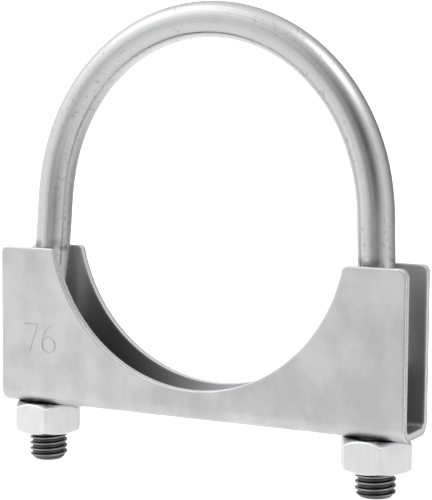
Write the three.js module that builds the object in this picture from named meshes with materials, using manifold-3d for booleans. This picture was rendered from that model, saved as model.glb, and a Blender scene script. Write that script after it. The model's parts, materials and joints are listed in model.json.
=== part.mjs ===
// A U-bolt exhaust clamp for 3-inch pipe: a bent round rod with two threaded legs, a pressed
// channel saddle that slides along the legs, and two hex nuts that draw the saddle up to the pipe.
// Units are millimetres, +Z is up. The origin is under the middle of the saddle, level with the
// lower leg tip. +X runs from the left leg to the right leg, and Y is the direction of the
// clamped pipe. The heights below are measured from the underside of the saddle's web, and the
// group of finished pieces is lifted to the origin.

import * as THREE from 'three';
import { mergeVertices } from 'three/addons/utils/BufferGeometryUtils.js';
import Module from 'manifold-3d';

const wasm = await Module();
wasm.setup();

// The bolt's rod. Heights are of the rod's axis.
const ROD_DIAMETER = 8.9;
const LEFT_LEG_X = -46.2; // leg axes below the flare
const RIGHT_LEG_X = 45.75;
const CROWN_HALF_WIDTH = 44.25;
const CROWN_BASE_Z = 50.8; // where the half ellipse of the crown starts
const CROWN_RISE = 46.5;
const CROWN_SHIFT = 0.5; // the bent crown leans this far towards +X
const FLARE_TOP_Z = 60; // from here down the legs spread by a gentle S
const FLARE_BASE_Z = 16; // below this they are straight and parallel
const LEFT_TIP_Z = -15.3;
const RIGHT_TIP_Z = -14.3;

// M10 thread, rolled, on a pitch of 1.5
const THREAD_PITCH = 1.5;
const THREAD_CREST_DIAMETER = 9.7;
const THREAD_ROOT_DIAMETER = 8.3;
const THREAD_CREST_WIDTH = 0.3;
const FLANK_ANGLE = THREE.MathUtils.degToRad(30);
const THREAD_TOP_Z = 15;
const RUN_OUT = 1; // the thread fades over this length on each side of its top
const LEFT_TIP_FACE_DIAMETER = 7;
const RIGHT_TIP_FACE_DIAMETER = 7.7;
const LEFT_CREST_Z = -10.67; // height of a crest on the leg's +X side
const RIGHT_CREST_Z = -10.27;

// The saddle, a channel of 2 mm sheet with the pipe's seat cut through both flanges
const SHEET = 1.95;
const SADDLE_WIDTH = 15.2; // over the flanges, in Y
const SADDLE_LENGTH = 111.2;
const SADDLE_HEIGHT = 40.1;
const BEND_INNER_RADIUS = 1.6;
const SEAT_RADIUS = 40.6;
const SEAT_BOTTOM_Z = 7.5;
// Radii of the corners along a flange's top edge: at its ends and where the seat meets it
const FRONT_CORNERS = { leftEnd: 1.3, leftSeat: 0.7, rightSeat: 1.3, rightEnd: 2.1 };
const BACK_CORNERS = { leftEnd: 2.2, leftSeat: 1.5, rightSeat: 1.3, rightEnd: 1.8 };
const HOLE_DIAMETER = 11;
const HOLE_X = 46; // either side of the middle

// M10 hex nuts
const NUT_ACROSS_FLATS = 15.9;
const NUT_HEIGHT = 8;
const NUT_TOP_FACE_DIAMETER = 14.9; // inside the chamfers
const NUT_BOTTOM_FACE_DIAMETER = 15.1;
const NUT_TOP_CHAMFER = THREE.MathUtils.degToRad(38);
const NUT_BOTTOM_CHAMFER = THREE.MathUtils.degToRad(30);
const NUT_THREAD_CLEARANCE = 0.15; // between the nut's thread and the leg's
const NUT_COUNTERSINK = 0.8;
const NUT_SEAT_GAP = 0.05; // between a nut and the web
const LEFT_NUT_CORNER = THREE.MathUtils.degToRad(58.1); // one corner's angle from +X
const RIGHT_NUT_CORNER = THREE.MathUtils.degToRad(-1.4);

// Facets on the round shapes
const ROD_SIDES = 16;
const ROD_STEPS = 56;
const THREAD_SIDES = 16;
const SEAT_STEPS = 40;
const BEND_STEPS = 5;
const CORNER_STEPS = 4;
const HOLE_SIDES = 32;
const CHAMFER_SIDES = 48;

const CUT_MARGIN = 5; // how far a cutting solid reaches past the metal

const bare = new THREE.MeshStandardMaterial({ color: 0xa9abad, roughness: 0.32, metalness: 1 });
const pressed = new THREE.MeshStandardMaterial({ color: 0xc2c3c4, roughness: 0.5, metalness: 1 });
const plated = new THREE.MeshStandardMaterial({ color: 0xd6d7d6, roughness: 0.42, metalness: 1 });

// A closed solid from a mesh whose faces share their corners
function toSolid(geometry) {
  geometry.deleteAttribute('normal');
  geometry.deleteAttribute('uv');
  const merged = mergeVertices(geometry, 1e-5);
  return new wasm.Manifold(new wasm.Mesh({
    numProp: 3,
    vertProperties: merged.attributes.position.array,
    triVerts: new Uint32Array(merged.index.array),
  }));
}

function toGeometry(solid) {
  const mesh = solid.getMesh();
  const geometry = new THREE.BufferGeometry();
  geometry.setAttribute('position', new THREE.BufferAttribute(mesh.vertProperties, 3));
  geometry.setIndex(new THREE.BufferAttribute(mesh.triVerts, 1));
  geometry.computeVertexNormals();
  return geometry;
}

function arc(centreX, centreY, radius, fromAngle, toAngle, steps) {
  return Array.from({ length: steps + 1 }, (_, n) => {
    const angle = fromAngle + (toAngle - fromAngle) * n / steps;
    return new THREE.Vector2(
      centreX + radius * Math.cos(angle),
      centreY + radius * Math.sin(angle),
    );
  });
}

// A solid of revolution about +Z from [radius, z] pairs
function turned(profile, sides) {
  const points = profile.map(([radius, z]) => new THREE.Vector2(radius, z));
  return toSolid(new THREE.LatheGeometry(points, sides).rotateX(Math.PI / 2));
}

// 0 above the flare and 1 below it, with no kink at either end
function flareAt(z) {
  return THREE.MathUtils.smoothstep(-z, -FLARE_TOP_Z, -FLARE_BASE_Z);
}

// The rod's axis above the threads: up the left leg, round the crown, down the right leg
class BoltAxis extends THREE.Curve {
  getPoint(t, target = new THREE.Vector3()) {
    const leg = CROWN_BASE_Z - THREAD_TOP_Z;
    const crown = Math.PI * (CROWN_HALF_WIDTH + CROWN_RISE) / 2;
    const walked = t * (crown + 2 * leg);
    const angle = Math.PI * (1 - THREE.MathUtils.clamp((walked - leg) / crown, 0, 1));
    const below = Math.max(leg - walked, walked - leg - crown, 0);
    const z = CROWN_BASE_Z + CROWN_RISE * Math.sin(angle) - below;
    const flare = flareAt(z);
    const spread = angle > Math.PI / 2
      ? LEFT_LEG_X + CROWN_HALF_WIDTH
      : RIGHT_LEG_X - CROWN_HALF_WIDTH;
    const x = CROWN_HALF_WIDTH * Math.cos(angle) + spread * flare + CROWN_SHIFT * (1 - flare);
    return target.set(x, 0, z);
  }
}

// A solid screw about +Z. A profile corner climbs one pitch in a turn, so the last corner of one
// turn's profile joins the first corner of the next turn's. Both ends close on the axis.
function screw(rootRadius, crestRadius, crestWidth, crestZ, fromZ, toZ) {
  const flank = (crestRadius - rootRadius) * Math.tan(FLANK_ANGLE);
  const profile = [
    [rootRadius, -crestWidth / 2 - flank],
    [crestRadius, -crestWidth / 2],
    [crestRadius, crestWidth / 2],
    [rootRadius, crestWidth / 2 + flank],
  ];
  const corners = profile.length;
  const turnsBelow = Math.ceil((crestZ - fromZ) / THREAD_PITCH) + 1;
  const turns = turnsBelow + Math.ceil((toZ - crestZ) / THREAD_PITCH) + 1;
  const startZ = crestZ - turnsBelow * THREAD_PITCH;
  const columns = turns * THREAD_SIDES;
  const positions = [];
  for (let column = 0; column <= columns; column += 1) {
    const turn = column / THREAD_SIDES;
    for (const [radius, z] of profile) {
      positions.push(
        radius * Math.cos(2 * Math.PI * turn),
        radius * Math.sin(2 * Math.PI * turn),
        startZ + THREAD_PITCH * turn + z,
      );
    }
  }
  const at = (column, corner) => column * corners + corner;
  const bottomCentre = positions.length / 3;
  positions.push(0, 0, startZ + THREAD_PITCH / 2);
  const topCentre = positions.length / 3;
  positions.push(0, 0, startZ + THREAD_PITCH * (turns - 1 / 2));

  const triangles = [];
  const quad = (a, b, c, d) => triangles.push(a, b, c, a, c, d);
  for (let column = 0; column < columns; column += 1) {
    for (let corner = 0; corner < corners - 1; corner += 1) {
      quad(at(column, corner), at(column + 1, corner),
        at(column + 1, corner + 1), at(column, corner + 1));
    }
    const above = column + THREAD_SIDES;
    if (above < columns) {
      quad(at(column, corners - 1), at(column + 1, corners - 1), at(above + 1, 0), at(above, 0));
    }
  }
  const firstTurn = Array.from({ length: THREAD_SIDES + 1 }, (_, n) => at(n, 0));
  const firstStep = [3, 2, 1].map((corner) => at(0, corner));
  const lastTurn = Array.from({ length: THREAD_SIDES + 1 }, (_, n) => (
    at(columns - THREAD_SIDES + n, corners - 1)));
  const lastStep = [2, 1, 0].map((corner) => at(columns, corner));
  const bottomRim = [...firstTurn, ...firstStep];
  const topRim = [...lastTurn, ...lastStep];
  bottomRim.forEach((a, n) => {
    triangles.push(bottomCentre, bottomRim[(n + 1) % bottomRim.length], a);
  });
  topRim.forEach((a, n) => {
    triangles.push(topCentre, a, topRim[(n + 1) % topRim.length]);
  });

  const geometry = new THREE.BufferGeometry();
  geometry.setAttribute('position', new THREE.Float32BufferAttribute(positions, 3));
  geometry.setIndex(triangles);
  return toSolid(geometry);
}

// A leg's threaded end: the screw trimmed to a pointed tip below and a run-out above
function threadedEnd(x, tipZ, tipFaceDiameter, crestZ) {
  const crestRadius = THREAD_CREST_DIAMETER / 2;
  const rootRadius = THREAD_ROOT_DIAMETER / 2;
  const faceRadius = tipFaceDiameter / 2;
  const outside = crestRadius + NUT_THREAD_CLEARANCE;
  const envelope = turned([
    [0, tipZ],
    [faceRadius, tipZ],
    [outside, tipZ + outside - faceRadius],
    [outside, THREAD_TOP_Z - RUN_OUT],
    [rootRadius, THREAD_TOP_Z + RUN_OUT],
    [0, THREAD_TOP_Z + RUN_OUT],
  ], 2 * THREAD_SIDES);
  const thread = screw(rootRadius, crestRadius, THREAD_CREST_WIDTH, crestZ, tipZ,
    THREAD_TOP_Z + RUN_OUT);
  return thread.intersect(envelope).translate([x, 0, 0]);
}

function bolt() {
  const circle = new THREE.Shape(arc(0, 0, ROD_DIAMETER / 2, 0, 2 * Math.PI, ROD_SIDES).slice(1));
  const rod = new THREE.ExtrudeGeometry(circle, {
    steps: ROD_STEPS,
    extrudePath: new BoltAxis(),
    bevelEnabled: false,
  });
  return toSolid(rod)
    .add(threadedEnd(LEFT_LEG_X, LEFT_TIP_Z, LEFT_TIP_FACE_DIAMETER, LEFT_CREST_Z))
    .add(threadedEnd(RIGHT_LEG_X, RIGHT_TIP_Z, RIGHT_TIP_FACE_DIAMETER, RIGHT_CREST_Z));
}

// The bent sheet before anything is cut from it, as a straight channel along X
function channel() {
  const half = SADDLE_WIDTH / 2;
  const top = SADDLE_HEIGHT + CUT_MARGIN;
  const outerRadius = BEND_INNER_RADIUS + SHEET;
  const centreY = half - outerRadius;
  const outer = [
    new THREE.Vector2(-half, top),
    ...arc(-centreY, outerRadius, outerRadius, Math.PI, 1.5 * Math.PI, BEND_STEPS),
    ...arc(centreY, outerRadius, outerRadius, 1.5 * Math.PI, 2 * Math.PI, BEND_STEPS),
    new THREE.Vector2(half, top),
  ];
  const inner = [
    new THREE.Vector2(half - SHEET, top),
    ...arc(centreY, outerRadius, BEND_INNER_RADIUS, 2 * Math.PI, 1.5 * Math.PI, BEND_STEPS),
    ...arc(-centreY, outerRadius, BEND_INNER_RADIUS, 1.5 * Math.PI, Math.PI, BEND_STEPS),
    new THREE.Vector2(-half + SHEET, top),
  ];
  const length = SADDLE_LENGTH + 2 * CUT_MARGIN;
  const geometry = new THREE.ExtrudeGeometry(new THREE.Shape([...outer, ...inner]), {
    depth: length,
    bevelEnabled: false,
  });
  const alongX = new THREE.Matrix4().makeBasis(
    new THREE.Vector3(0, 1, 0),
    new THREE.Vector3(0, 0, 1),
    new THREE.Vector3(1, 0, 0),
  );
  return toSolid(geometry.applyMatrix4(alongX).translate(-length / 2, 0, 0));
}

// One side's edge from the bottom of the seat up and out to the flange's top corner. The seat
// arc meets the top edge in a small round, and the top edge meets the end in another.
function sideEdge(seatCornerRadius, endCornerRadius) {
  const seatZ = SEAT_BOTTOM_Z + SEAT_RADIUS;
  const roundZ = SADDLE_HEIGHT - seatCornerRadius;
  const roundAngle = Math.asin((roundZ - seatZ) / (SEAT_RADIUS + seatCornerRadius));
  const roundX = (SEAT_RADIUS + seatCornerRadius) * Math.cos(roundAngle);
  const end = SADDLE_LENGTH / 2;
  return [
    ...arc(0, seatZ, SEAT_RADIUS, -Math.PI / 2, roundAngle, SEAT_STEPS),
    ...arc(roundX, roundZ, seatCornerRadius, roundAngle + Math.PI, Math.PI / 2, CORNER_STEPS),
    ...arc(end - endCornerRadius, SADDLE_HEIGHT - endCornerRadius, endCornerRadius,
      Math.PI / 2, 0, CORNER_STEPS),
    new THREE.Vector2(end, -CUT_MARGIN),
  ];
}

// The punched outline of a flange as a solid, from the channel's middle to past its front
function flange(corners) {
  const right = sideEdge(corners.rightSeat, corners.rightEnd);
  const left = sideEdge(corners.leftSeat, corners.leftEnd)
    .map((point) => new THREE.Vector2(-point.x, point.y));
  const outline = new THREE.Shape([...left.reverse(), ...right.slice(1)]);
  const depth = SADDLE_WIDTH / 2 + CUT_MARGIN;
  const solid = toSolid(new THREE.ExtrudeGeometry(outline, { depth, bevelEnabled: false }));
  return solid.rotate([90, 0, 0]);
}

function saddle() {
  const front = flange(FRONT_CORNERS);
  const back = flange(BACK_CORNERS).translate([0, SADDLE_WIDTH / 2 + CUT_MARGIN, 0]);
  const hole = turned([
    [0, -CUT_MARGIN],
    [HOLE_DIAMETER / 2, -CUT_MARGIN],
    [HOLE_DIAMETER / 2, CUT_MARGIN],
    [0, CUT_MARGIN],
  ], HOLE_SIDES);
  return channel()
    .intersect(front.add(back))
    .subtract(hole.translate([-HOLE_X, 0, 0]))
    .subtract(hole.translate([HOLE_X, 0, 0]));
}

// A nut whose top face is at z = 0. crestZ is the height, from there, of the leg's crest on its
// +X side, so that the nut's thread follows the leg's.
function hexNut(cornerAngle, crestZ) {
  const cornerRadius = NUT_ACROSS_FLATS / Math.sqrt(3);
  const corners = arc(0, 0, cornerRadius, cornerAngle, cornerAngle + 2 * Math.PI, 6).slice(1);
  const prism = new THREE.ExtrudeGeometry(new THREE.Shape(corners), {
    depth: NUT_HEIGHT,
    bevelEnabled: false,
  });
  const outside = cornerRadius + CUT_MARGIN;
  const bottomRise = (outside - NUT_BOTTOM_FACE_DIAMETER / 2) * Math.tan(NUT_BOTTOM_CHAMFER);
  const topDrop = (outside - NUT_TOP_FACE_DIAMETER / 2) * Math.tan(NUT_TOP_CHAMFER);
  const cones = turned([
    [0, -NUT_HEIGHT],
    [NUT_BOTTOM_FACE_DIAMETER / 2, -NUT_HEIGHT],
    [outside, -NUT_HEIGHT + bottomRise],
    [outside, -topDrop],
    [NUT_TOP_FACE_DIAMETER / 2, 0],
    [0, 0],
  ], CHAMFER_SIDES);

  const rootRadius = THREAD_ROOT_DIAMETER / 2 + NUT_THREAD_CLEARANCE;
  const crestRadius = THREAD_CREST_DIAMETER / 2 + NUT_THREAD_CLEARANCE;
  const bore = screw(rootRadius, crestRadius, THREAD_CREST_WIDTH + NUT_THREAD_CLEARANCE, crestZ,
    -NUT_HEIGHT - CUT_MARGIN, CUT_MARGIN);
  const sink = turned([
    [0, -NUT_COUNTERSINK],
    [crestRadius - NUT_COUNTERSINK, -NUT_COUNTERSINK],
    [crestRadius + CUT_MARGIN, CUT_MARGIN],
    [0, CUT_MARGIN],
  ], HOLE_SIDES);
  const lowerSink = sink.rotate([180, 0, 0]).translate([0, 0, -NUT_HEIGHT]);
  return toSolid(prism.translate(0, 0, -NUT_HEIGHT))
    .intersect(cones)
    .subtract(bore)
    .subtract(sink)
    .subtract(lowerSink);
}

function part(name, solid, material) {
  const mesh = new THREE.Mesh(toGeometry(solid), material);
  mesh.name = name;
  return mesh;
}

const leftNut = part('hex_nut_left',
  hexNut(LEFT_NUT_CORNER, LEFT_CREST_Z + NUT_SEAT_GAP), plated);
leftNut.position.set(LEFT_LEG_X, 0, -NUT_SEAT_GAP);

const rightNut = part('hex_nut_right',
  hexNut(RIGHT_NUT_CORNER, RIGHT_CREST_Z + NUT_SEAT_GAP), plated);
rightNut.position.set(RIGHT_LEG_X, 0, -NUT_SEAT_GAP);

const pieces = new THREE.Group();
pieces.add(part('u_bolt', bolt(), bare), part('saddle', saddle(), pressed), leftNut, rightNut);
pieces.position.z = -LEFT_TIP_Z;

const clamp = new THREE.Group();
clamp.add(pieces);

export default clamp;
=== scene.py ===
"""Looks for the U-bolt pipe clamp: fine meshes, metals, table, light and camera, all placed from
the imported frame."""

import json
import math

import bmesh
import bpy
import numpy as np
from mathutils import Matrix, Vector


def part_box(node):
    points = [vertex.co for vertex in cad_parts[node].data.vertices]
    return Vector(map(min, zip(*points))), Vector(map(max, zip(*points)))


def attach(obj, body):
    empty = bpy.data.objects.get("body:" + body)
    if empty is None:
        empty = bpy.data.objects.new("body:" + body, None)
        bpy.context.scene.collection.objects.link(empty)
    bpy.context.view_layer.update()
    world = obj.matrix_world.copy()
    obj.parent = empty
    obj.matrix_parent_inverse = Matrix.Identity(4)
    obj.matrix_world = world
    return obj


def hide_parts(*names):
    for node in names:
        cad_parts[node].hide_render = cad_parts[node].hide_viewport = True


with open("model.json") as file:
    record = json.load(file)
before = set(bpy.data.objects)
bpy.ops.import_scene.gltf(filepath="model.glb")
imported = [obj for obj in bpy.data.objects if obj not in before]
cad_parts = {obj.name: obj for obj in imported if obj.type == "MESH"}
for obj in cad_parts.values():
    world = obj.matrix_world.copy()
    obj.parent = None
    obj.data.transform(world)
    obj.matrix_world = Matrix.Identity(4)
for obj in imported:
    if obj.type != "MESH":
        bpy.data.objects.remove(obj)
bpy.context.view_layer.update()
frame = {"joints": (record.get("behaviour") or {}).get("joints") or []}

MM = 0.001

# ---------------------------------------------------------------- sizes
# In millimetres. Heights are measured from the underside of the saddle's web.

WEB = np.array((0, 0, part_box("saddle")[0].z / MM))


def box_mm(node):
    """Lowest and highest corner of a CAD node as two arrays."""
    return tuple(np.array(corner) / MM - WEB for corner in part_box(node))


def joint(name):
    return next(joint for joint in frame["joints"] if joint["name"] == name)


bolt_low, bolt_high = box_mm("u_bolt")
_, saddle_high = box_mm("saddle")
nut_low, nut_high = box_mm("hex_nut_left")

# rod and crown
ROD_RADIUS = 4.45
LEFT_LEG_X = joint("left_nut_turn")["pos_m"][0] / MM
RIGHT_LEG_X = joint("right_nut_turn")["pos_m"][0] / MM
CROWN_HALF_WIDTH = 44.25
CROWN_BASE_Z = 50.8
CROWN_RISE = bolt_high[2] - ROD_RADIUS - CROWN_BASE_Z
CROWN_SHIFT = 0.5  # the crown sits this far right of the middle
FLARE_TOP_Z = 60.0  # the legs spread out between these heights
FLARE_BASE_Z = 16.0
LEG_TOP_Z = FLARE_BASE_Z + 0.9  # the straight legs' last ring, just below the crown's first one
STRAIGHT_RUN = CROWN_BASE_Z - FLARE_BASE_Z
CROWN_RUN = math.pi * (CROWN_HALF_WIDTH + CROWN_RISE) / 2
LEFT_TIP_Z = bolt_low[2]
RIGHT_TIP_Z = -14.3

# thread
PITCH = 1.5
CREST_RADIUS = 4.85
ROOT_RADIUS = 4.15
CREST_WIDTH = 0.3
FLANK = (CREST_RADIUS - ROOT_RADIUS) * math.tan(math.radians(30))
THREAD_SOFTNESS = 0.4  # how far the flanks bend into the crests and roots
THREAD_TOP_Z = 15.0
RUN_OUT = 1.6
LEFT_TIP_FACE_RADIUS = 3.5
RIGHT_TIP_FACE_RADIUS = 3.85
LEFT_CREST_Z = -10.67  # where a crest crosses the side away from the middle
RIGHT_CREST_Z = -10.27
CAP_RINGS = np.array((0.35, 0.7, 0.93))  # rings across a tip's face, as shares of its radius
CAP_GROOVE = 0.3  # how much of the grooves' darkness the tips' faces have

# saddle
SHEET = 1.95
BEND_INNER = 1.6
BEND_OUTER = BEND_INNER + SHEET
HALF_LENGTH = saddle_high[0]
HALF_WIDTH = saddle_high[1]
FLANGE_TOP = saddle_high[2]
SEAT_RADIUS = 40.6
SEAT_Z = 7.5 + SEAT_RADIUS
FRONT_CORNERS = dict(left_end=1.3, left_seat=0.7, right_seat=1.3, right_end=2.1)
BACK_CORNERS = dict(left_end=2.2, left_seat=1.5, right_seat=1.3, right_end=1.8)
ROLL_WIDTH = 0.6  # the punch rolls the outer faces' edges over by this much
ROLL_DEPTH = 0.3
LIP_DEPTH = 0.42  # the line of painted shade between the roll and the bright cut ends this deep
BURR_ROUND = 0.1  # and leaves the inner ones almost sharp
HOLE_RADIUS = 5.5
HOLE_X = 46.0

# stamped size mark on the front flange
MARK_LEFT = -48.2
MARK_LOW = 13.6
MARK_HEIGHT = 7.0
DIGIT_WIDTH = 3.9
DIGIT_GAP = 1.3
STROKE_RADIUS = 0.24  # the strokes are grooves of this radius,
STROKE_PROUD = 0.12  # centred this far in front of the face,
STROKE_SHADE = 0.45  # and painted this dark in their grooves, as painted shade

# nuts
NUT_TOP_Z = nut_high[2]
NUT_HEIGHT = nut_high[2] - nut_low[2]
NUT_APOTHEM = 7.95
NUT_TOP_FACE = 7.45
NUT_BOTTOM_FACE = 7.55
NUT_TOP_CHAMFER = math.tan(math.radians(38))
NUT_BOTTOM_CHAMFER = math.tan(math.radians(30))
NUT_CORNER_ROUND = 0.15
NUT_CLEARANCE = 0.15
NUT_MOUTH = 0.35  # chamfer at both ends of the bore
SHADE_START, SHADE_RUN = 0.35, 0.5  # where the painted shade under the web starts up the top chamfer, and how fast
LEFT_NUT_CORNER = math.radians(58.1)
RIGHT_NUT_CORNER = math.radians(-1.4)

# how finely the meshes are cut
BOLT_COLUMNS = 64
BOLT_ROWS = 240
TURN_ROWS = 22  # rows in one turn of the legs' thread
BORE_TURN_ROWS = 20
FLAT_STEPS, CORNER_STEPS = 14, 6  # round a nut, for each of its six sides
SEAT_STEPS, SEAT_CORNER_STEPS, TOP_STEPS, END_CORNER_STEPS = 110, 10, 26, 6
FLANGE_ROWS, FLANGE_EDGE_ROWS = 17, 6
FLANGE_EDGE_SHARE = 0.965  # the finer rows at a flange's edge start here, from the bend at 0 to 1
ROLL_STEPS, BURR_STEPS = 7, 3
ROUND_STEPS = 4
LONGEST_ROUND = 0.45  # a nut's corner is never rounded over more than this share of a side
BEND_STEPS = 8
WEB_STEPS = 8
HOLE_COLUMNS = 96
STROKE_SIDES = 12
SHARP_ANGLE = math.radians(40)


# ---------------------------------------------------------------- mesh helpers


def smoothstep(x):
    x = np.clip(x, 0.0, 1.0)
    return x * x * (3 - 2 * x)


def add_mesh(name, points, faces, material, attributes=None):
    """A smooth-shaded object from points in mm, with per-point values."""
    mesh = bpy.data.meshes.new(name)
    mesh.from_pydata(((np.asarray(points, float) + WEB) * MM).tolist(), [], faces)
    mesh.validate()
    for key, values in (attributes or {}).items():
        layer = mesh.attributes.new(key, "FLOAT", "POINT")
        layer.data.foreach_set("value", np.asarray(values, np.float32))
    mesh.polygons.foreach_set("use_smooth", [True] * len(mesh.polygons))
    mesh.materials.append(material)
    obj = bpy.data.objects.new(name, mesh)
    bpy.context.scene.collection.objects.link(obj)
    return obj


def ring_faces(rows, columns, closed_rows=False):
    """Quads over a grid whose columns wrap round, and whose rows wrap too when closed_rows."""
    faces = []
    for row in range(rows if closed_rows else rows - 1):
        above = (row + 1) % rows
        for column in range(columns):
            beside = (column + 1) % columns
            faces.append((
                row * columns + column,
                row * columns + beside,
                above * columns + beside,
                above * columns + column,
            ))
    return faces


def face_outwards(obj):
    made = bmesh.new()
    made.from_mesh(obj.data)
    bmesh.ops.recalc_face_normals(made, faces=made.faces)
    made.to_mesh(obj.data)
    made.free()


def weight_normals(obj):
    """Large flat faces set the shading, so fillets do not tint the flats beside them, and cut
    edges stay crisp."""
    obj.data.set_sharp_from_angle(angle=SHARP_ANGLE)
    modifier = obj.modifiers.new("flat_faces", "WEIGHTED_NORMAL")
    modifier.mode = "FACE_AREA"
    modifier.weight = 80
    modifier.keep_sharp = True


def apply_modifiers(obj):
    graph = bpy.context.evaluated_depsgraph_get()
    done = bpy.data.meshes.new_from_object(obj.evaluated_get(graph))
    obj.modifiers.clear()
    obj.data = done


# ---------------------------------------------------------------- thread form


def thread_radius(z, angle, crest_z):
    """Radius of the screw at a height and angle, with rounded crests and roots."""
    turn = (z - crest_z) / PITCH - angle / (2 * math.pi)
    away = np.abs(turn - np.round(turn)) * PITCH
    drop = np.clip((away - CREST_WIDTH / 2) / FLANK, 0, 1)
    drop = (1 - THREAD_SOFTNESS) * drop + THREAD_SOFTNESS * smoothstep(drop)
    return CREST_RADIUS - (CREST_RADIUS - ROOT_RADIUS) * drop


# ---------------------------------------------------------------- u-bolt


def bolt_axis(walked):
    """Centre of the rod above the straight legs, for distances walked from the left leg."""
    angle = math.pi * (1 - np.clip((walked - STRAIGHT_RUN) / CROWN_RUN, 0, 1))
    below = np.maximum(np.maximum(STRAIGHT_RUN - walked, walked - STRAIGHT_RUN - CROWN_RUN), 0)
    z = CROWN_BASE_Z + CROWN_RISE * np.sin(angle) - below
    flare = smoothstep((FLARE_TOP_Z - z) / (FLARE_TOP_Z - FLARE_BASE_Z))
    spread = np.where(
        angle > math.pi / 2, LEFT_LEG_X + CROWN_HALF_WIDTH, RIGHT_LEG_X - CROWN_HALF_WIDTH)
    x = CROWN_HALF_WIDTH * np.cos(angle) + spread * flare + CROWN_SHIFT * (1 - flare)
    return x, z


def leg_rows(tip_z, face_radius, crest_z, side, angles):
    """Heights up one straight leg, with the radius, groove and thread at each height and angle."""
    heights = np.arange(tip_z, THREAD_TOP_Z + RUN_OUT, PITCH / TURN_ROWS)
    heights = np.append(heights, LEG_TOP_Z)
    around = angles if side > 0 else math.pi - angles
    z = heights[:, None]
    fade = smoothstep((THREAD_TOP_Z + RUN_OUT - z) / (2 * RUN_OUT))
    screw = thread_radius(z, around[None, :], crest_z)
    radius = ROD_RADIUS + (screw - ROD_RADIUS) * fade
    tip_cone = face_radius + (z - tip_z)
    radius = np.minimum(radius, tip_cone)
    groove = np.clip((CREST_RADIUS - radius) / (CREST_RADIUS - ROOT_RADIUS), 0, 1) * fade
    threaded = np.broadcast_to(smoothstep((THREAD_TOP_Z + RUN_OUT - z) / RUN_OUT), radius.shape)
    return heights, radius, groove, threaded


def leg_rings(side, leg_x, tip_z, face_radius, crest_z, angles):
    """Rings of one threaded leg from the middle of its tip's face upwards."""
    heights, radius, groove, threaded = leg_rows(tip_z, face_radius, crest_z, side, angles)
    cap = np.ones((len(CAP_RINGS), len(angles)))
    rows = len(CAP_RINGS) + len(heights)
    return dict(
        x=np.full(rows, leg_x),
        z=np.concatenate([np.full(len(CAP_RINGS), tip_z), heights]),
        nx=np.full(rows, float(side)),
        nz=np.zeros(rows),
        radius=np.concatenate([cap * CAP_RINGS[:, None] * face_radius, radius]),
        groove=np.concatenate([CAP_GROOVE * cap, groove]),
        threaded=np.concatenate([cap, threaded]),
    )


def crown_rings():
    """Rings of the plain rod between the two straight legs."""
    walked = np.linspace(0, CROWN_RUN + 2 * STRAIGHT_RUN, BOLT_ROWS)[2:-2]
    x, z = bolt_axis(walked)
    dx, dz = np.gradient(x), np.gradient(z)
    length = np.hypot(dx, dz)
    plain = np.full((len(x), BOLT_COLUMNS), ROD_RADIUS)
    return dict(
        x=x, z=z, nx=-dz / length, nz=dx / length,
        radius=plain, groove=np.zeros_like(plain), threaded=np.zeros_like(plain),
    )


def bolt_faces(rows):
    """Quads along the rod and a fan of triangles over each tip, round a middle point."""
    faces = ring_faces(rows, BOLT_COLUMNS)
    left_middle, right_middle = rows * BOLT_COLUMNS, rows * BOLT_COLUMNS + 1
    last_ring = (rows - 1) * BOLT_COLUMNS
    for column in range(BOLT_COLUMNS):
        beside = (column + 1) % BOLT_COLUMNS
        faces.append((left_middle, beside, column))
        faces.append((right_middle, last_ring + column, last_ring + beside))
    return faces


def build_bolt(material):
    angles = np.arange(BOLT_COLUMNS) * 2 * math.pi / BOLT_COLUMNS
    left = leg_rings(-1, LEFT_LEG_X, LEFT_TIP_Z, LEFT_TIP_FACE_RADIUS, LEFT_CREST_Z, angles)
    right = leg_rings(1, RIGHT_LEG_X, RIGHT_TIP_Z, RIGHT_TIP_FACE_RADIUS, RIGHT_CREST_Z, angles)
    crown = crown_rings()
    rings = {key: np.concatenate([left[key], crown[key], right[key][::-1]]) for key in crown}
    x, z = rings["x"], rings["z"]
    out = rings["radius"] * np.cos(angles)
    points = np.stack([
        x[:, None] + out * rings["nx"][:, None],
        rings["radius"] * np.sin(angles),
        z[:, None] + out * rings["nz"][:, None],
    ], -1).reshape(-1, 3)
    tips = ((LEFT_LEG_X, 0, LEFT_TIP_Z), (RIGHT_LEG_X, 0, RIGHT_TIP_Z))
    along = np.concatenate([[0], np.cumsum(np.hypot(np.diff(x), np.diff(z)))])
    bolt = add_mesh(
        "u_bolt_rod", np.concatenate([points, tips]), bolt_faces(len(x)), material,
        attributes={
            "groove": np.append(rings["groove"], (CAP_GROOVE, CAP_GROOVE)),
            "threaded": np.append(rings["threaded"], (1, 1)),
            "around_cos": np.append(np.tile(np.cos(angles), len(x)), (0, 0)),
            "around_sin": np.append(np.tile(np.sin(angles), len(x)), (0, 0)),
            "along": np.append(np.repeat(along, BOLT_COLUMNS), along[[0, -1]]),
        },
    )
    face_outwards(bolt)
    return bolt


# ---------------------------------------------------------------- hex nuts


def hex_columns(corner_angle):
    """Angles round a hexagon with rounded corners, and the radius at each."""
    tangent = math.atan((NUT_APOTHEM - NUT_CORNER_ROUND) * math.tan(math.pi / 6) / NUT_APOTHEM)
    flat = np.linspace(-tangent, tangent, FLAT_STEPS + 1)[:-1]
    corner = np.linspace(tangent, math.pi / 3 - tangent, CORNER_STEPS + 1)[:-1]
    sector = np.concatenate([flat, corner])
    to_corner = sector - math.pi / 6
    centre = (NUT_APOTHEM - NUT_CORNER_ROUND) / math.cos(math.pi / 6)
    rounded = centre * np.cos(to_corner) + np.sqrt(
        np.maximum(NUT_CORNER_ROUND**2 - (centre * np.sin(to_corner)) ** 2, 0)
    )
    radius = np.where(sector <= tangent, NUT_APOTHEM / np.cos(sector), rounded)
    angles = np.concatenate([sector + n * math.pi / 3 for n in range(6)])
    return angles + corner_angle + math.pi / 6, np.tile(radius, 6)


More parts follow.
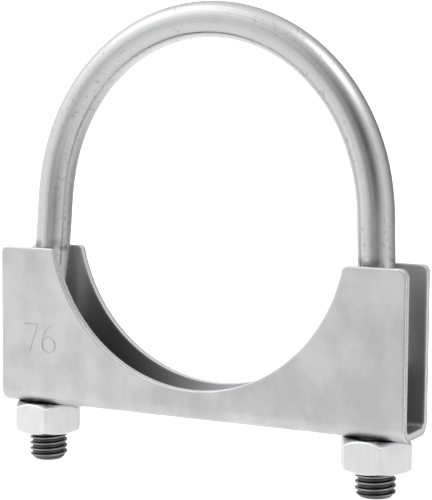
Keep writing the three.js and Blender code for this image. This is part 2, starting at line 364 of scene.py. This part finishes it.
def rounded_path(corners, rounds):
    """Paths through corners (points, columns, 2), each corner softened over its distance."""
    path = [corners[0]]
    for n in range(1, len(corners) - 1):
        here, before, after = corners[n], corners[n - 1], corners[n + 1]
        back, ahead = before - here, after - here
        back_length = np.linalg.norm(back, axis=-1, keepdims=True)
        ahead_length = np.linalg.norm(ahead, axis=-1, keepdims=True)
        longest = LONGEST_ROUND * np.minimum(back_length, ahead_length)
        reach = np.minimum(rounds[n], longest)
        start = here + back / back_length * reach
        end = here + ahead / ahead_length * reach
        for t in np.linspace(0, 1, ROUND_STEPS + 1):
            path.append((1 - t) ** 2 * start + 2 * t * (1 - t) * here + t * t * end)
    path.append(corners[-1])
    return np.array(path)


def nut_outside(hexagon, sink):
    """Sections of a nut from the bore's top edge round its outside to the bottom one."""
    one = np.ones(len(hexagon))
    bottom_z = NUT_TOP_Z - NUT_HEIGHT
    top_drop = (hexagon - NUT_TOP_FACE) * NUT_TOP_CHAMFER
    bottom_rise = (hexagon - NUT_BOTTOM_FACE) * NUT_BOTTOM_CHAMFER
    corners_and_rounds = (
        (sink, NUT_TOP_Z, 0),
        (NUT_TOP_FACE, NUT_TOP_Z, 0.18),
        (hexagon, NUT_TOP_Z - top_drop, 0.32),
        (hexagon, bottom_z + bottom_rise, 0.3),
        (NUT_BOTTOM_FACE, bottom_z, 0.35),
        (sink, bottom_z, 0),
    )
    corners = np.array([
        np.stack([radius * one, z * one], -1) for radius, z, _ in corners_and_rounds])
    return rounded_path(corners, [soft for *_, soft in corners_and_rounds])


def nut_bore(angles, crest_z, sink):
    """Sections of a nut's threaded bore from the bottom up."""
    bottom_z = NUT_TOP_Z - NUT_HEIGHT
    z = np.arange(bottom_z, NUT_TOP_Z, PITCH / BORE_TURN_ROWS)[1:, None]
    bore = thread_radius(z, angles[None, :], crest_z) + NUT_CLEARANCE
    bore = np.maximum(bore, sink - np.minimum(NUT_TOP_Z - z, z - bottom_z))
    return np.stack([bore, np.broadcast_to(z, bore.shape)], -1)


def build_nut(name, corner_angle, x, crest_z, material):
    angles, hexagon = hex_columns(corner_angle)
    sink = CREST_RADIUS + NUT_CLEARANCE + NUT_MOUTH
    outside = nut_outside(hexagon, sink)
    path = np.concatenate([outside, nut_bore(angles, crest_z, sink)])
    radius, height = path[..., 0], path[..., 1]
    points = np.stack([
        x + radius * np.cos(angles),
        radius * np.sin(angles),
        height,
    ], -1).reshape(-1, 3)
    groove = np.zeros(radius.shape)
    groove[len(outside):] = 1
    # painted shade under the web, rising up the top chamfer and over the top face
    up_chamfer = (hexagon - radius) / (hexagon - NUT_TOP_FACE)
    upper_half = height > NUT_TOP_Z - NUT_HEIGHT / 2
    shade = np.where(upper_half, smoothstep((up_chamfer - SHADE_START) / SHADE_RUN), 0)
    nut = add_mesh(
        name, points, ring_faces(len(path), len(angles), closed_rows=True), material,
        attributes={"groove": groove.ravel(), "shade": shade.ravel()},
    )
    face_outwards(nut)
    weight_normals(nut)
    return nut


# ---------------------------------------------------------------- saddle


def arc(centre, radius, start, end, steps):
    angle = np.linspace(start, end, steps + 1)
    return np.stack([centre[0] + radius * np.cos(angle), centre[1] + radius * np.sin(angle)], -1)


def flange_edge(seat_corner, end_corner):
    """Half of a flange's edge in (x, z), from the seat's bottom to the middle of the end corner,
    with the direction out of the metal at each point."""
    round_z = FLANGE_TOP - seat_corner
    turn = math.asin((round_z - SEAT_Z) / (SEAT_RADIUS + seat_corner))
    round_x = (SEAT_RADIUS + seat_corner) * math.cos(turn)
    end_x, end_z = HALF_LENGTH - end_corner, FLANGE_TOP - end_corner
    seat = arc((0, SEAT_Z), SEAT_RADIUS, -math.pi / 2, turn, SEAT_STEPS)
    ear = arc((round_x, round_z), seat_corner, turn + math.pi, math.pi / 2, SEAT_CORNER_STEPS)
    top = np.linspace((round_x, FLANGE_TOP), (end_x, FLANGE_TOP), TOP_STEPS)
    corner = arc((end_x, end_z), end_corner, math.pi / 2, math.pi / 4, END_CORNER_STEPS)
    points = np.concatenate([seat[:-1], ear[:-1], top[:-1], corner])
    outward = np.concatenate([
        ((0, SEAT_Z) - seat[:-1]) / SEAT_RADIUS,
        (ear[:-1] - (round_x, round_z)) / seat_corner,
        np.tile((0.0, 1.0), (len(top) - 1, 1)),
        (corner - (end_x, end_z)) / end_corner,
    ])
    return points, outward


def end_edge(end_corner, shares):
    """The end of a flange in (x, z) from the bend line up to the middle of the end corner."""
    end_x, end_z = HALF_LENGTH - end_corner, FLANGE_TOP - end_corner
    inset = end_corner - ROLL_WIDTH
    top_z = end_z + inset * math.sin(math.pi / 4)
    z = BEND_OUTER + shares * (top_z - BEND_OUTER)
    rise = np.maximum(z - end_z, 0) / inset
    outward = np.stack([np.sqrt(1 - rise**2), rise], -1)
    points = np.stack([end_x + inset * outward[:, 0], z], -1)
    return points, outward


def mirrored(points_and_outward):
    return tuple(np.array(a) * (-1, 1) for a in points_and_outward)


def flange_patch(corners, shares):
    """A flange's inset face as a grid of (x, z), rows from the bend line to the edge, and the
    outward direction all round it."""
    right, right_out = flange_edge(corners["right_seat"], corners["right_end"])
    left, left_out = mirrored(flange_edge(corners["left_seat"], corners["left_end"]))
    edge = np.concatenate([left[::-1], right[1:]])
    edge_out = np.concatenate([left_out[::-1], right_out[1:]])
    right_side, right_end_out = end_edge(corners["right_end"], shares)
    left_side, left_end_out = mirrored(end_edge(corners["left_end"], shares))
    top = edge - ROLL_WIDTH * edge_out
    reach = HALF_LENGTH - ROLL_WIDTH
    share = (top[:, 0] - top[0, 0]) / (top[-1, 0] - top[0, 0])
    bottom = np.stack([-reach + 2 * reach * share, np.full(len(top), BEND_OUTER)], -1)
    u = share[None, :, None]
    v = shares[:, None, None]
    grid = (
        (1 - v) * bottom[None] + v * top[None]
        + (1 - u) * left_side[:, None] + u * right_side[:, None]
        - (1 - u) * (1 - v) * bottom[0] - u * (1 - v) * bottom[-1]
        - (1 - u) * v * top[0] - u * v * top[-1]
    )
    return grid, edge_out, left_end_out, right_end_out


def flange_skin(patch, side):
    """A flange's outer face as a grid of points, and the way into the metal at each."""
    y = np.full(patch.shape[:2], side * HALF_WIDTH)
    skin = np.stack([patch[..., 0], y, patch[..., 1]], -1)
    return skin, np.broadcast_to((0.0, -side, 0.0), skin.shape)


def bend_skin(xs, side):
    """The same for a bend, in rows from the flange to the web."""
    centre_y = side * (HALF_WIDTH - BEND_OUTER)
    skin, inward = [], []
    for n in range(1, BEND_STEPS):
        turn = n / BEND_STEPS * math.pi / 2
        y, z = side * math.cos(turn), -math.sin(turn)
        skin.append(np.stack([
            xs,
            np.full(len(xs), centre_y + BEND_OUTER * y),
            np.full(len(xs), BEND_OUTER + BEND_OUTER * z),
        ], -1))
        inward.append(np.broadcast_to((0.0, -y, -z), (len(xs), 3)))
    return np.array(skin), np.array(inward)


def web_skin(front_xs, back_xs):
    """The same for the web, in rows from front to back."""
    reach = HALF_WIDTH - BEND_OUTER
    y = np.linspace(-reach, reach, WEB_STEPS + 1)[:, None]
    share = np.linspace(0, 1, WEB_STEPS + 1)[:, None]
    x = front_xs + share * (back_xs - front_xs)
    skin = np.stack([x, np.broadcast_to(y, x.shape), np.zeros(x.shape)], -1)
    return skin, np.broadcast_to((0.0, 0.0, 1.0), skin.shape)


def sheet_skin(front_patch, back_patch):
    """The whole outer skin, in rows from the front flange's edge under the web to the back
    flange's edge, and the way into the metal at each point."""
    front_xs, back_xs = front_patch[0, :, 0], back_patch[0, :, 0]
    front, front_in = flange_skin(front_patch, -1)
    front_bend, front_bend_in = bend_skin(front_xs, -1)
    web, web_in = web_skin(front_xs, back_xs)
    back_bend, back_bend_in = bend_skin(back_xs, 1)
    back, back_in = flange_skin(back_patch, 1)
    skin = np.concatenate([front[::-1], front_bend, web, back_bend[::-1], back])
    inward = np.concatenate([front_in[::-1], front_bend_in, web_in, back_bend_in[::-1], back_in])
    return skin, inward


def rim_loop(rows, columns, front_outs, back_outs):
    """The skin's border points in order all round, and the way out of the sheet at each."""

    def as_sheet(outward):
        return np.stack([outward[:, 0], np.zeros(len(outward)), outward[:, 1]], -1)

    def end_outward(side, front_end, back_end):
        between = rows - len(front_end) - len(back_end)
        return np.concatenate([
            as_sheet(front_end)[::-1],
            np.tile((float(side), 0.0, 0.0), (between, 1)),
            as_sheet(back_end),
        ])

    front_edge, front_left, front_right = front_outs
    back_edge, back_left, back_right = back_outs
    across, along = np.arange(columns), np.arange(rows) * columns
    sides = (
        (across, as_sheet(front_edge)),
        (along + columns - 1, end_outward(1, front_right, back_right)),
        ((along[-1] + across)[::-1], as_sheet(back_edge)[::-1]),
        (along[::-1], end_outward(-1, front_left, back_left)[::-1]),
    )
    at = np.concatenate([at[:-1] for at, _ in sides])
    out = np.concatenate([out[:-1] for _, out in sides])
    return at, out


def rim_section():
    """The cut edge from the outer skin to the inner one, as (out, deep) steps: rolled over at
    first, then straight, then a small round."""
    rolled = [
        (ROLL_WIDTH * math.sin(t), ROLL_DEPTH * (1 - math.cos(t)))
        for t in np.linspace(0, math.pi / 2, ROLL_STEPS + 1)[1:]
    ]
    straight = [(ROLL_WIDTH, LIP_DEPTH), (ROLL_WIDTH, SHEET / 2)]
    burr = [
        (ROLL_WIDTH - BURR_ROUND * (1 - math.cos(t)), SHEET - BURR_ROUND * (1 - math.sin(t)))
        for t in np.linspace(0, math.pi / 2, BURR_STEPS + 1)
    ]
    return rolled + straight + burr


def sheet_faces(rows, columns, border, rim_rows):
    """Quads of the outer skin, of the inner skin that follows it, and of the rim between them."""
    size = rows * columns
    faces = []
    for row in range(rows - 1):
        for column in range(columns - 1):
            a = row * columns + column
            quad = (a, a + 1, a + 1 + columns, a + columns)
            faces.append(quad)
            faces.append(tuple(size + n for n in quad[::-1]))
    around = len(border)
    rings = [border]
    rings += [2 * size + n * around + np.arange(around) for n in range(rim_rows)]
    rings += [size + border]
    for low, high in zip(rings[:-1], rings[1:]):
        for n in range(around):
            m = (n + 1) % around
            faces.append((int(low[n]), int(high[n]), int(high[m]), int(low[m])))
    return faces


def build_saddle_sheet(material):
    """The bent sheet as two offset skins joined by a rim. Its cut parts, the line of painted shade
    where the roll ends, and its inner parts are marked for the material."""
    shares = np.concatenate([
        np.linspace(0, FLANGE_EDGE_SHARE, FLANGE_ROWS)[:-1],
        np.linspace(FLANGE_EDGE_SHARE, 1, FLANGE_EDGE_ROWS),
    ])
    front_patch, *front_outs = flange_patch(FRONT_CORNERS, shares)
    back_patch, *back_outs = flange_patch(BACK_CORNERS, shares)
    skin, inward = sheet_skin(front_patch, back_patch)
    rows, columns = skin.shape[:2]
    outer, thick = skin.reshape(-1, 3), inward.reshape(-1, 3)
    border, out_way = rim_loop(rows, columns, front_outs, back_outs)
    section = rim_section()
    rim = [outer[border] + out * out_way + deep * thick[border] for out, deep in section]

    def marked(on_inner, on_section):
        skins = np.repeat((0.0, float(on_inner)), len(outer))
        return np.concatenate([skins, np.repeat(np.array(on_section, float), len(border))])

    depths = np.array([deep for _, deep in section])
    sheet = add_mesh(
        "saddle_channel", np.concatenate([outer, outer + SHEET * thick, *rim]),
        sheet_faces(rows, columns, border, len(section)), material,
        attributes={
            "edge": marked(False, depths > 0.5 * ROLL_DEPTH),
            "inside": marked(True, np.zeros(len(depths))),
            # painted shade along the line where the roll ends
            "painted_shade": marked(False, (depths > 0.9 * ROLL_DEPTH) & (depths <= LIP_DEPTH)),
        },
    )
    face_outwards(sheet)
    return sheet


def cut(obj, cutters):
    """Boolean difference with each cutter in turn; the cutters are removed."""
    for cutter in cutters:
        modifier = obj.modifiers.new("cut", "BOOLEAN")
        modifier.operation = "DIFFERENCE"
        modifier.solver = "EXACT"
        modifier.object = cutter
        apply_modifiers(obj)
        bpy.data.objects.remove(cutter)


def hole_cutter(x, material):
    """A rod through the web. No point of it has y = 0, where the web has a row of points."""
    angles = (np.arange(HOLE_COLUMNS) + 0.5) * 2 * math.pi / HOLE_COLUMNS
    ring = np.stack([
        x + HOLE_RADIUS * np.cos(angles), HOLE_RADIUS * np.sin(angles), 0 * angles,
    ], -1)
    below, above = (0, 0, -3), (0, 0, 5)
    points = np.concatenate([ring + below, ring + above])
    faces = ring_faces(2, HOLE_COLUMNS)
    faces += [tuple(range(HOLE_COLUMNS)), tuple(range(2 * HOLE_COLUMNS - 1, HOLE_COLUMNS - 1, -1))]
    cutter = add_mesh("hole_cutter", points, faces, material)
    face_outwards(cutter)
    return cutter


def stroke_cutter(path, closed, material):
    """A thin round tube along a stamped stroke on the front face, in (x, z). Its sides are turned
    so that none of its points lies in the face."""
    around = (np.arange(STROKE_SIDES) + 0.5) * 2 * math.pi / STROKE_SIDES
    path = np.array(path, float)
    if closed:
        tangent = np.roll(path, -1, axis=0) - np.roll(path, 1, axis=0)
    else:
        tangent = np.gradient(path, axis=0)
    tangent /= np.linalg.norm(tangent, axis=1, keepdims=True)
    normal = np.stack([-tangent[:, 1], tangent[:, 0]], -1)
    flat = path[:, None] + STROKE_RADIUS * normal[:, None] * np.cos(around)[None, :, None]
    deep = -HALF_WIDTH - STROKE_PROUD + STROKE_RADIUS * np.sin(around)
    deep = np.broadcast_to(deep, flat.shape[:2])
    points = np.stack([flat[..., 0], deep, flat[..., 1]], -1).reshape(-1, 3)
    faces = ring_faces(len(path), STROKE_SIDES, closed_rows=closed)
    if not closed:
        last = len(points) - STROKE_SIDES
        faces += [tuple(range(STROKE_SIDES)), tuple(range(len(points) - 1, last - 1, -1))]
    cutter = add_mesh("stroke_cutter", points, faces, material)
    face_outwards(cutter)
    return cutter


def size_mark():
    """Strokes of the stamped nominal size, 76, as (x, z) paths on the front face, and whether
    each one is a closed loop."""
    left, low, top = MARK_LEFT, MARK_LOW, MARK_LOW + MARK_HEIGHT
    right = left + DIGIT_WIDTH
    bar = np.linspace((left, top), (right, top), 6)
    slant = np.linspace((right, top), (left + 0.35 * DIGIT_WIDTH, low), 14)
    bowl = DIGIT_WIDTH / 2
    six = right + DIGIT_GAP
    loop = arc((six + bowl, low + bowl), bowl, 0, 2 * math.pi, 40)[:-1]
    stem = arc((0, 0), 1, math.pi, 0.56 * math.pi, 16) * (DIGIT_WIDTH, MARK_HEIGHT - bowl)
    stem = (six + DIGIT_WIDTH, low + bowl) + stem
    return [(np.concatenate([bar, slant[1:]]), False), (loop, True), (stem, False)]


def shade_strokes(saddle):
    """Painted shade in the stamped strokes' grooves."""
    mesh = saddle.data
    points = np.zeros(3 * len(mesh.vertices))
    mesh.vertices.foreach_get("co", points)
    x, y, z = (points.reshape(-1, 3) / MM - WEB).T
    depth = y + HALF_WIDTH
    mark_right = MARK_LEFT + 2 * DIGIT_WIDTH + DIGIT_GAP
    margin, below_face = 1.0, 0.02
    in_mark = (x > MARK_LEFT - margin) & (x < mark_right + margin)
    in_mark &= (z > MARK_LOW - margin) & (z < MARK_LOW + MARK_HEIGHT + margin)
    in_mark &= (depth > below_face) & (depth < STROKE_RADIUS)
    painted_shade = np.zeros(len(mesh.vertices), np.float32)
    mesh.attributes["painted_shade"].data.foreach_get("value", painted_shade)
    # painted shade in the strokes' grooves
    painted_shade[in_mark] = STROKE_SHADE
    mesh.attributes["painted_shade"].data.foreach_set("value", painted_shade)


def build_saddle(material):
    saddle = build_saddle_sheet(material)
    cut(saddle, [hole_cutter(-HOLE_X, material), hole_cutter(HOLE_X, material)])
    cut(saddle, [stroke_cutter(path, closed, material) for path, closed in size_mark()])
    shade_strokes(saddle)
    weight_normals(saddle)
    return saddle


# ---------------------------------------------------------------- materials
# Tones run from black at 0 to white at 1. Noise has its scale in waves for each metre.


class Nodes:
    """A small hand for building the node tree of a material or of the world."""

    def __init__(self, owner):
        owner.use_nodes = True
        self.tree = owner.node_tree

    def add(self, kind, **inputs):
        node = self.tree.nodes.new(kind)
        for key, value in inputs.items():
            if hasattr(node, key):
                setattr(node, key, value)
            else:
                self.put(node.inputs[key.replace("_", " ")], value)
        return node

    def put(self, socket, value):
        if isinstance(value, bpy.types.NodeSocket):
            self.tree.links.new(value, socket)
        else:
            socket.default_value = value

    def set(self, name, value):
        self.put(self.tree.nodes["Principled BSDF"].inputs[name], value)

    def place(self):
        return self.add("ShaderNodeTexCoord").outputs["Object"]

    def split(self, vector):
        node = self.add("ShaderNodeSeparateXYZ")
        self.put(node.inputs["Vector"], vector)
        return node.outputs

    def noise(self, vector, scale, detail=3.0, roughness=0.5):
        node = self.add("ShaderNodeTexNoise", Scale=scale, Detail=detail, Roughness=roughness)
        self.put(node.inputs["Vector"], vector)
        return node.outputs["Fac"]

    def stretch(self, vector, scale):
        node = self.add("ShaderNodeMapping")
        self.put(node.inputs["Vector"], vector)
        self.put(node.inputs["Scale"], scale)
        return node.outputs["Vector"]

    def attribute(self, name):
        return self.add("ShaderNodeAttribute", attribute_name=name).outputs["Fac"]

    def remap(self, value, low, high, to_low=0.0, to_high=1.0):
        node = self.add("ShaderNodeMapRange", clamp=True, interpolation_type="SMOOTHSTEP")
        for key, item in (
            ("Value", value), ("From Min", low), ("From Max", high),
            ("To Min", to_low), ("To Max", to_high),
        ):
            self.put(node.inputs[key], item)
        return node.outputs["Result"]

    def math(self, operation, a, b=0.0):
        node = self.add("ShaderNodeMath", operation=operation)
        self.put(node.inputs[0], a)
        self.put(node.inputs[1], b)
        return node.outputs["Value"]

    def times(self, a, b):
        return self.math("MULTIPLY", a, b)

    def plus(self, a, b):
        return self.math("ADD", a, b)

    def minus(self, a, b):
        return self.math("SUBTRACT", a, b)

    def mix(self, share, a, b):
        node = self.add("ShaderNodeMix", data_type="RGBA")
        self.put(node.inputs["Factor"], share)
        self.put(node.inputs[6], a)
        self.put(node.inputs[7], b)
        return node.outputs[2]

    def bump(self, height, strength, distance):
        node = self.add("ShaderNodeBump")
        self.put(node.inputs["Height"], height)
        node.inputs["Strength"].default_value = strength
        node.inputs["Distance"].default_value = distance
        return node.outputs["Normal"]


def grey(value):
    return (value, value, value * 1.01, 1.0)


def level(height):
    """A height in metres on a piece at rest, from one in mm above the web's underside."""
    return WEB[2] * MM + height * MM


def rod_scuffs(nodes, place, clouds, z):
    """Small scuffs that come in patches, and more of them near the saddle, which darkens the legs
    there: partly wear, and partly painted shade beside the flanges.
    """
    # the extra scuffs near the saddle are partly painted shade beside the flanges
    near_saddle = nodes.remap(z, level(36), level(62), 1.0, 0.0)
    worn = nodes.plus(clouds, nodes.times(near_saddle, 0.07))
    spots = nodes.noise(place, 900.0, 3.0, 0.6)
    return nodes.times(nodes.remap(spots, 0.56, 0.67), nodes.remap(worn, 0.43, 0.58))


def rod_smudge_and_shade(nodes, place, z):
    """A dark band round each leg just above the flanges: a smudge and painted shade by the
    flanges.
    """
    top = level(FLANGE_TOP)
    band = nodes.times(
        nodes.remap(z, top - 1.5 * MM, top), nodes.remap(z, top, top + 3 * MM, 0.8, 0.0))
    return nodes.times(band, nodes.remap(nodes.noise(place, 260.0, 3.0, 0.6), 0.40, 0.56))


def bolt_steel():
    """Drawn rod: fine lines along its length, scuffs and dull spots, dark threads."""
    dull, bright, scuffed, smudge_and_shade = grey(0.50), grey(0.58), grey(0.32), grey(0.16)
    crest, root = grey(0.31), grey(0.08)
    material = bpy.data.materials.new("drawn_rod_steel")
    nodes = Nodes(material)
    flow = nodes.add("ShaderNodeCombineXYZ")
    for axis, name in zip("XYZ", ("around_cos", "around_sin", "along")):
        nodes.put(flow.inputs[axis], nodes.attribute(name))
    flow = flow.outputs["Vector"]
    place = nodes.place()
    z = nodes.split(place)["Z"]
    lines = nodes.noise(nodes.stretch(flow, (9.5, 9.5, 0.012)), 1.0, 4.0, 0.6)
    fine = nodes.noise(nodes.stretch(flow, (41.0, 41.0, 0.08)), 1.0, 2.0, 0.5)
    clouds = nodes.noise(place, 90.0, 4.0, 0.6)
    scuffs = rod_scuffs(nodes, place, clouds, z)
    threaded = nodes.attribute("threaded")
    tone = nodes.mix(nodes.remap(lines, 0.3, 0.7), dull, bright)
    tone = nodes.mix(nodes.times(scuffs, 0.55), tone, scuffed)
    # painted shade and a smudge round each leg above the flanges
    tone = nodes.mix(rod_smudge_and_shade(nodes, place, z), tone, smudge_and_shade)
    screw = nodes.mix(nodes.remap(nodes.attribute("groove"), 0.0, 0.26), crest, root)
    nodes.set("Base Color", nodes.mix(threaded, tone, screw))
    nodes.set("Metallic", 1.0)
    rough = nodes.remap(clouds, 0.3, 0.7, 0.16, 0.24)
    rough = nodes.plus(rough, nodes.times(scuffs, 0.15))
    nodes.set("Roughness", nodes.plus(rough, nodes.times(threaded, 0.12)))
    height = nodes.plus(nodes.times(lines, 0.6), nodes.times(fine, 0.4))
    height = nodes.minus(height, nodes.times(scuffs, 0.5))
    nodes.set("Normal", nodes.bump(height, 0.35, 0.04 * MM))
    return material


def inside_light_and_shade(nodes, place):
    """Painted light and shade on the channel's inside: dark low down, lighter towards its top and
    its right end, and lightest under the seat, where light falls straight in, all painted into
    the colour."""
    dark, light, open_to_light = grey(0.33), grey(0.62), grey(0.85)
    x, _, z = nodes.split(place)
    # painted shade low down, painted light towards the top, the right end and under the seat
    near_top = nodes.remap(z, level(18), level(FLANGE_TOP))
    near_end = nodes.remap(x, 25 * MM, HALF_LENGTH * MM, 0.0, 0.45)
    tone = nodes.mix(nodes.math("MAXIMUM", near_top, near_end), dark, light)
    under_seat = nodes.times(
        nodes.remap(x, -30 * MM, 6 * MM), nodes.remap(x, 20 * MM, 42 * MM, 1.0, 0.0))
    return nodes.mix(under_seat, tone, open_to_light)


def saddle_steel():
    """Plated sheet: soft clouds, small pits, bright cut edges with burrs, and a dashed line of
    painted shade where the roll-over ends."""
    dark, light, pit = grey(0.54), grey(0.645), grey(0.44)
    cut_edge, burr, painted_shade_tone = grey(0.86), grey(0.56), grey(0.16)
    material = bpy.data.materials.new("plated_sheet_steel")
    nodes = Nodes(material)
    place = nodes.place()
    clouds = nodes.noise(place, 55.0, 5.0, 0.55)
    patches = nodes.noise(nodes.stretch(place, (1.0, 1.0, 0.6)), 160.0, 3.0, 0.6)
    grain = nodes.noise(place, 2600.0, 2.0, 0.5)
    pits = nodes.remap(nodes.noise(place, 700.0, 2.0, 0.5), 0.70, 0.78)
    burrs = nodes.remap(nodes.noise(place, 1500.0, 3.0, 0.6), 0.55, 0.70, 0.0, 0.5)
    dashes = nodes.remap(nodes.noise(place, 2400.0, 2.0, 0.6), 0.40, 0.60, 0.2, 0.8)
    edge = nodes.attribute("edge")
    mottled = nodes.plus(nodes.times(clouds, 0.65), nodes.times(patches, 0.35))
    tone = nodes.mix(nodes.remap(mottled, 0.38, 0.62), dark, light)
    tone = nodes.mix(nodes.times(pits, 0.35), tone, pit)
    # painted light and shade on the channel's inner skin
    tone = nodes.mix(nodes.times(nodes.attribute("inside"), 0.8), tone, inside_light_and_shade(nodes, place))
    tone = nodes.mix(nodes.times(edge, 0.8), tone, nodes.mix(burrs, cut_edge, burr))
    # painted shade: a dashed dark line where the roll ends, and in the stamped strokes' grooves
    tone = nodes.mix(nodes.times(nodes.attribute("painted_shade"), dashes), tone, painted_shade_tone)
    nodes.set("Base Color", tone)
    nodes.set("Metallic", nodes.minus(1.0, nodes.times(edge, 0.2)))
    rough = nodes.remap(mottled, 0.35, 0.65, 0.50, 0.42)
    nodes.set("Roughness", nodes.minus(rough, nodes.times(edge, 0.12)))
    height = nodes.plus(nodes.times(patches, 0.7), nodes.times(grain, 0.3))
    nodes.set("Normal", nodes.bump(height, 0.25, 0.05 * MM))
    return material


def nut_zinc():
    """Pale zinc plating with faint upright forming marks, painted shade on the top chamfer under
    the web, and dark in the bore."""
    marked, clean, cloudy = grey(0.75), grey(0.785), grey(0.69)
    under_web_shade, bore = grey(0.10), grey(0.12)
    material = bpy.data.materials.new("zinc_plated_nut")
    nodes = Nodes(material)
    place = nodes.place()
    marks = nodes.noise(nodes.stretch(place, (1.0, 1.0, 0.08)), 900.0, 3.0, 0.6)
    clouds = nodes.noise(place, 220.0, 4.0, 0.55)
    streaks = nodes.remap(nodes.noise(place, 420.0, 3.0, 0.6), 0.42, 0.58, 0.6, 1.0)
    tone = nodes.mix(nodes.remap(marks, 0.35, 0.65), marked, clean)
    tone = nodes.mix(nodes.remap(clouds, 0.3, 0.75, 0.0, 0.35), tone, cloudy)
    # painted shade under the web, broken into streaks
    tone = nodes.mix(nodes.times(nodes.attribute("shade"), streaks), tone, under_web_shade)
    nodes.set("Base Color", nodes.mix(nodes.attribute("groove"), tone, bore))
    nodes.set("Metallic", 1.0)
    nodes.set("Roughness", nodes.remap(clouds, 0.3, 0.7, 0.28, 0.38))
    height = nodes.plus(nodes.times(marks, 0.3), nodes.times(clouds, 0.7))
    nodes.set("Normal", nodes.bump(height, 0.12, 0.05 * MM))
    return material


# ---------------------------------------------------------------- stage

VIEW_YAW = 28.21
VIEW_ELEVATION = 5.13
VIEW_ROLL = 0.444
VIEW_DISTANCE = 398.4
VIEW_TARGET = Vector((2.9, 0.0, 41.4))
LENS = 117.6
SENSOR = 36.0
TABLE_HALF = 3.0  # metres

TENT = 1.5  # brightness of the white tent all round
TENT_COLOUR = (0.8, 0.8, 0.8, 1)
CAMERA_LIFT = 2  # extra brightness that only the camera sees, which makes the background white
WIDE, SOFT, SMALL = 5, 10, 24  # how tightly a panel is gathered round its middle


def towards_camera():
    yaw, rise = math.radians(VIEW_YAW), math.radians(VIEW_ELEVATION)
    return Vector((
        math.sin(yaw) * math.cos(rise), -math.cos(yaw) * math.cos(rise), math.sin(rise)))


def add_camera():
    data = bpy.data.cameras.new("view")
    data.sensor_width = SENSOR
    data.lens = LENS
    data.clip_start, data.clip_end = 0.01, 20
    camera = bpy.data.objects.new("view", data)
    bpy.context.scene.collection.objects.link(camera)
    back = towards_camera()
    right = (-back).cross(Vector((0, 0, 1))).normalized()
    up = right.cross(-back)
    turn = Matrix((right, up, back)).transposed()
    roll = Matrix.Rotation(math.radians(VIEW_ROLL), 3, "Z")
    camera.matrix_world = (
        Matrix.Translation((VIEW_TARGET + Vector(WEB) + back * VIEW_DISTANCE) * MM)
        @ (turn @ roll).to_4x4())
    bpy.context.scene.camera = camera


def add_floor():
    """A plain white table that the longer leg just touches. The metal mirrors the tent instead."""
    mesh = bpy.data.meshes.new("table")
    low, high = -TABLE_HALF, TABLE_HALF
    corners = [(low, low, 0), (high, low, 0), (high, high, 0), (low, high, 0)]
    mesh.from_pydata(corners, [], [(0, 1, 2, 3)])
    material = bpy.data.materials.new("pale_table")
    nodes = Nodes(material)
    nodes.set("Base Color", grey(0.85))
    nodes.set("Roughness", 0.6)
    nodes.set("Emission Color", (1, 1, 1, 1))
    nodes.set("Emission Strength", 1.0)
    mesh.materials.append(material)
    table = bpy.data.objects.new("table", mesh)
    table.location.z = (LEFT_TIP_Z + WEB[2]) * MM
    table.visible_glossy = False
    bpy.context.scene.collection.objects.link(table)


def add_studio():
    """A white light tent with soft panels, where a negative one is a dark card. The camera itself
    sees plain white."""
    world = bpy.data.worlds.new("studio")
    nodes = Nodes(world)
    bpy.context.scene.world = world
    bpy.context.scene.view_settings.view_transform = "Standard"
    direction = nodes.add("ShaderNodeTexCoord").outputs["Generated"]

    def add_panel(light, strength, right, up, tightness):
        """Light with a soft patch, its middle in degrees right of the camera and above level."""
        turn, rise = math.radians(VIEW_YAW - 90 + right), math.radians(up)
        facing = nodes.add("ShaderNodeVectorMath", operation="DOT_PRODUCT")
        nodes.put(facing.inputs[0], direction)
        nodes.put(facing.inputs[1], (
            math.cos(turn) * math.cos(rise), math.sin(turn) * math.cos(rise), math.sin(rise)))
        near = nodes.minus(facing.outputs["Value"], 1)
        patch = nodes.math("EXPONENT", nodes.times(near, tightness))
        return nodes.plus(light, nodes.times(patch, strength))

    # the dark room behind the camera, and the dim far side of the tent
    light = add_panel(TENT, -1.3, right=0, up=15, tightness=WIDE)
    light = add_panel(light, -1.4, right=140, up=0, tightness=WIDE / 2)
    # a large lamp high on the left, a smaller one higher on the right, and light off the table
    light = add_panel(light, 1.3, right=-95, up=45, tightness=SOFT)
    light = add_panel(light, 2.2, right=60, up=60, tightness=SMALL)
    light = add_panel(light, 1.0, right=160, up=-30, tightness=WIDE)
    # a black strip at the front left
    light = add_panel(light, -0.45, right=-40, up=0, tightness=SMALL)
    light = nodes.math("MAXIMUM", light, 0)
    seen = nodes.add("ShaderNodeLightPath").outputs["Is Camera Ray"]
    background = nodes.tree.nodes["Background"]
    background.inputs["Color"].default_value = TENT_COLOUR
    nodes.put(background.inputs["Strength"], nodes.plus(light, nodes.times(seen, CAMERA_LIFT)))


# ---------------------------------------------------------------- assembly


def place_piece(piece, body, node):
    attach(piece, body)
    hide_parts(node)


rod_metal, sheet_metal, nut_metal = bolt_steel(), saddle_steel(), nut_zinc()
place_piece(build_bolt(rod_metal), "bolt", "u_bolt")
place_piece(build_saddle(sheet_metal), "saddle", "saddle")
left_nut = build_nut("left_nut", LEFT_NUT_CORNER, LEFT_LEG_X, LEFT_CREST_Z, nut_metal)
place_piece(left_nut, "left_nut", "hex_nut_left")
right_nut = build_nut("right_nut", RIGHT_NUT_CORNER, RIGHT_LEG_X, RIGHT_CREST_Z, nut_metal)
place_piece(right_nut, "right_nut", "hex_nut_right")

add_floor()
add_studio()
add_camera()
